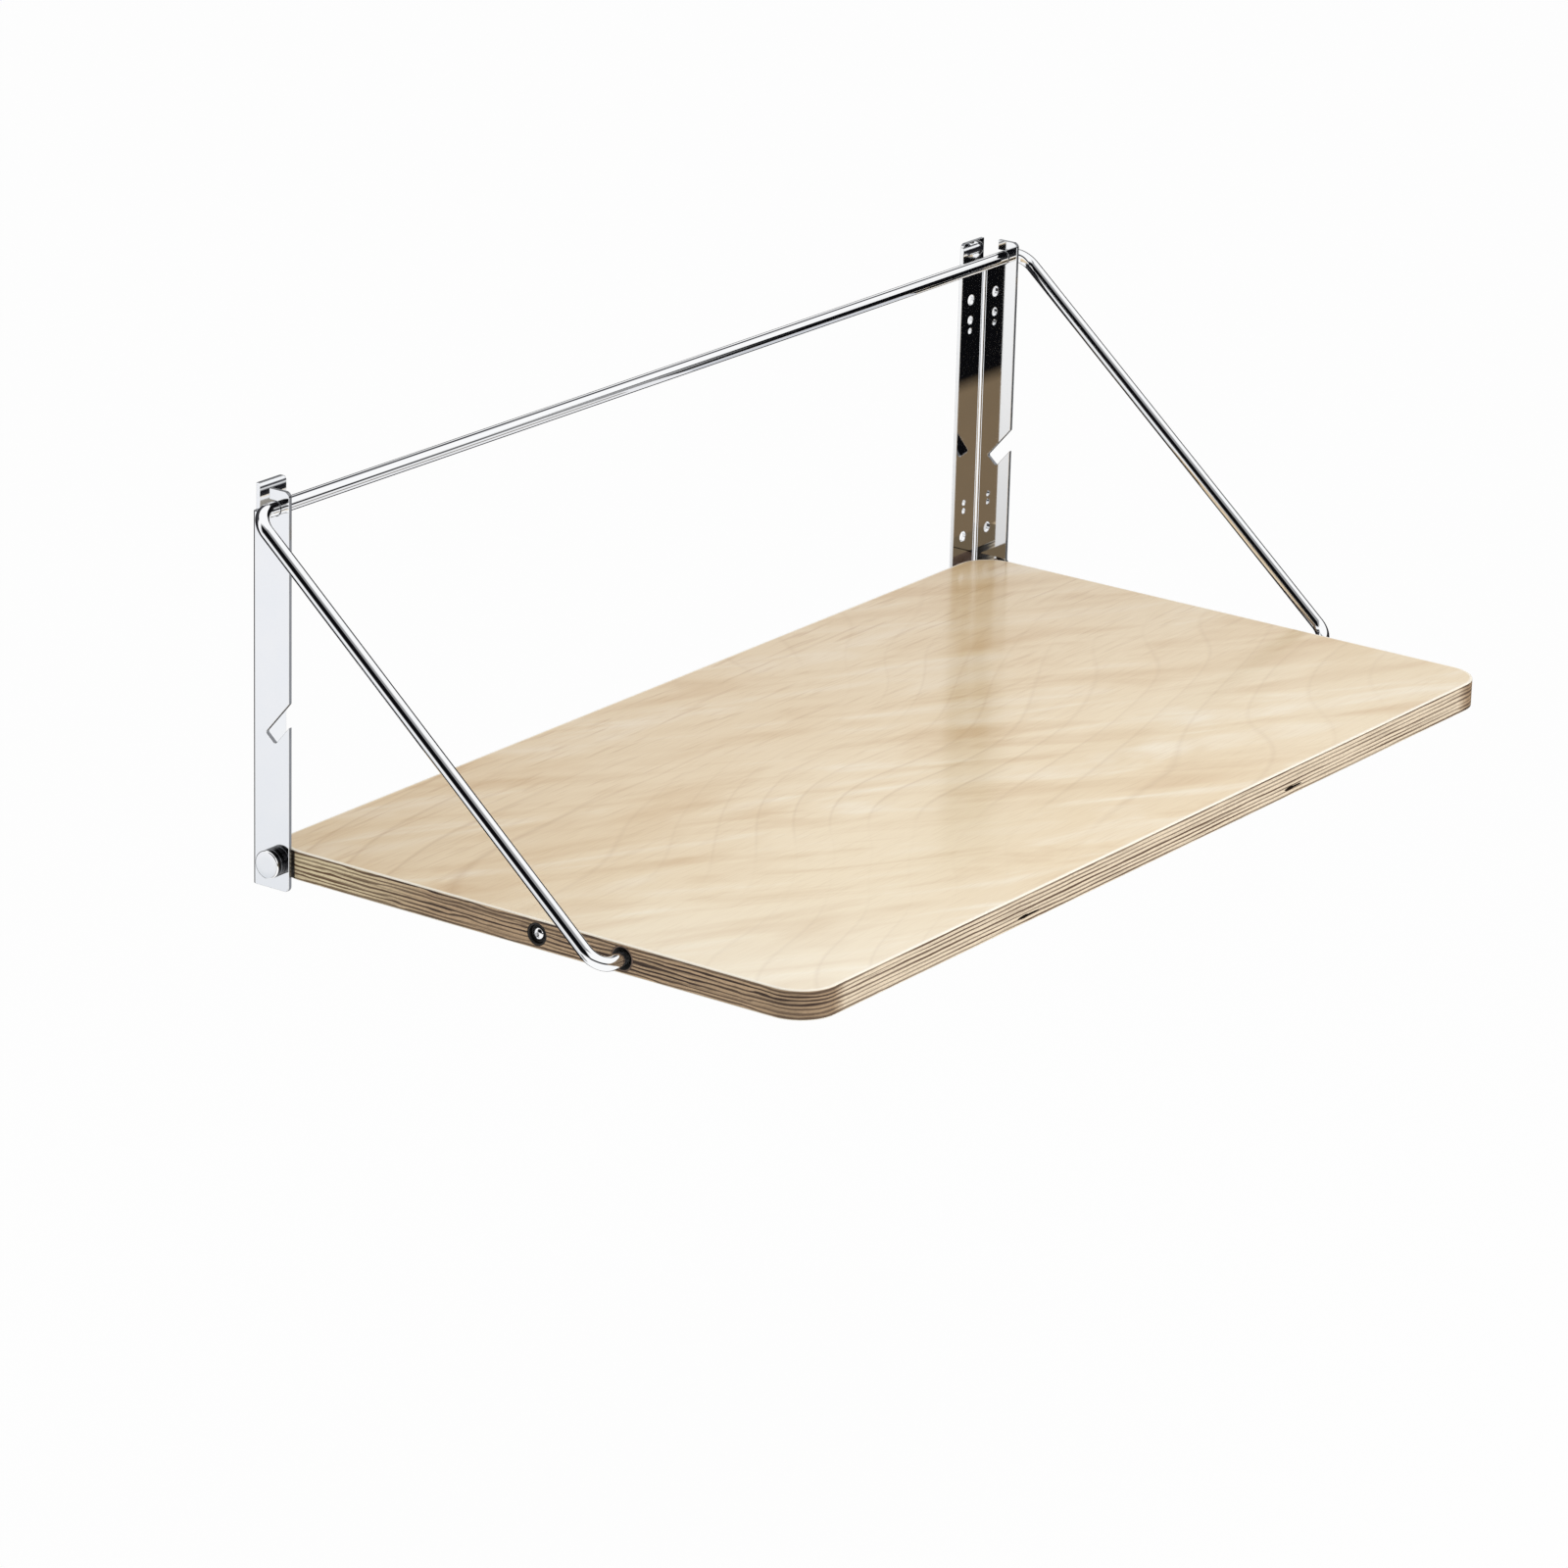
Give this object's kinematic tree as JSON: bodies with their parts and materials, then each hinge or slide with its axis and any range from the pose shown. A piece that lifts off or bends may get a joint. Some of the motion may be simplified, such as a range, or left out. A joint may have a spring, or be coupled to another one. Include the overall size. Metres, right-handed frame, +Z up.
{
  "type": "wall mounted drop leaf table",
  "caption": "Wall mounted drop leaf table: plywood leaf hinged between steel angle brackets, propped by one bent rod that hooks over them and drops into notches when the leaf hangs.",
  "frame": {"origin": "centre of the four wall screw holes, in the plane of the wall", "axes": "+X along the wall to the right of someone facing it, +Y into the wall, +Z up"},
  "size_m": [0.91, 0.46, 0.281],
  "materials": {
    "plywood": "clear satin lacquer over birch veneer, plies bare at the edges",
    "rod_chrome": "bright chrome plating",
    "plate_chrome": "bright chrome plating",
    "bolt_chrome": "bright chrome plating",
    "insert_steel": "zinc plated",
    "dark_plastic": "moulded nylon"
  },
  "bodies": {
    "brackets": {"left_bracket": "plate_chrome", "right_bracket": "plate_chrome"},
    "leaf": {"table_board": "plywood", "left_pivot_bolt": "bolt_chrome", "right_pivot_bolt": "bolt_chrome", "left_pivot_spacer": "dark_plastic", "right_pivot_spacer": "dark_plastic", "left_pivot_insert": "insert_steel", "right_pivot_insert": "insert_steel", "left_bail_bush": "dark_plastic", "right_bail_bush": "dark_plastic", "left_edge_cup": "dark_plastic", "right_edge_cup": "dark_plastic", "left_edge_screw": "bolt_chrome", "right_edge_screw": "bolt_chrome"},
    "bail": {"bail": "rod_chrome"}
  },
  "joints": [
    {"name": "leaf_fold", "type": "hinge", "parent": "brackets", "child": "leaf", "pos_m": [0, -0.0195, -0.1215], "axis": [1, 0, 0], "range_deg": [0, 90]},
    {"name": "bail_swing", "type": "hinge", "parent": "leaf", "child": "bail", "pos_m": [0, -0.31, -0.1215], "axis": [1, 0, 0], "range_deg": [-41, 0]}
  ],
  "couplings": [
    {"joint": "bail_swing", "follows": "leaf_fold", "ratio": -0.45104}
  ]
}
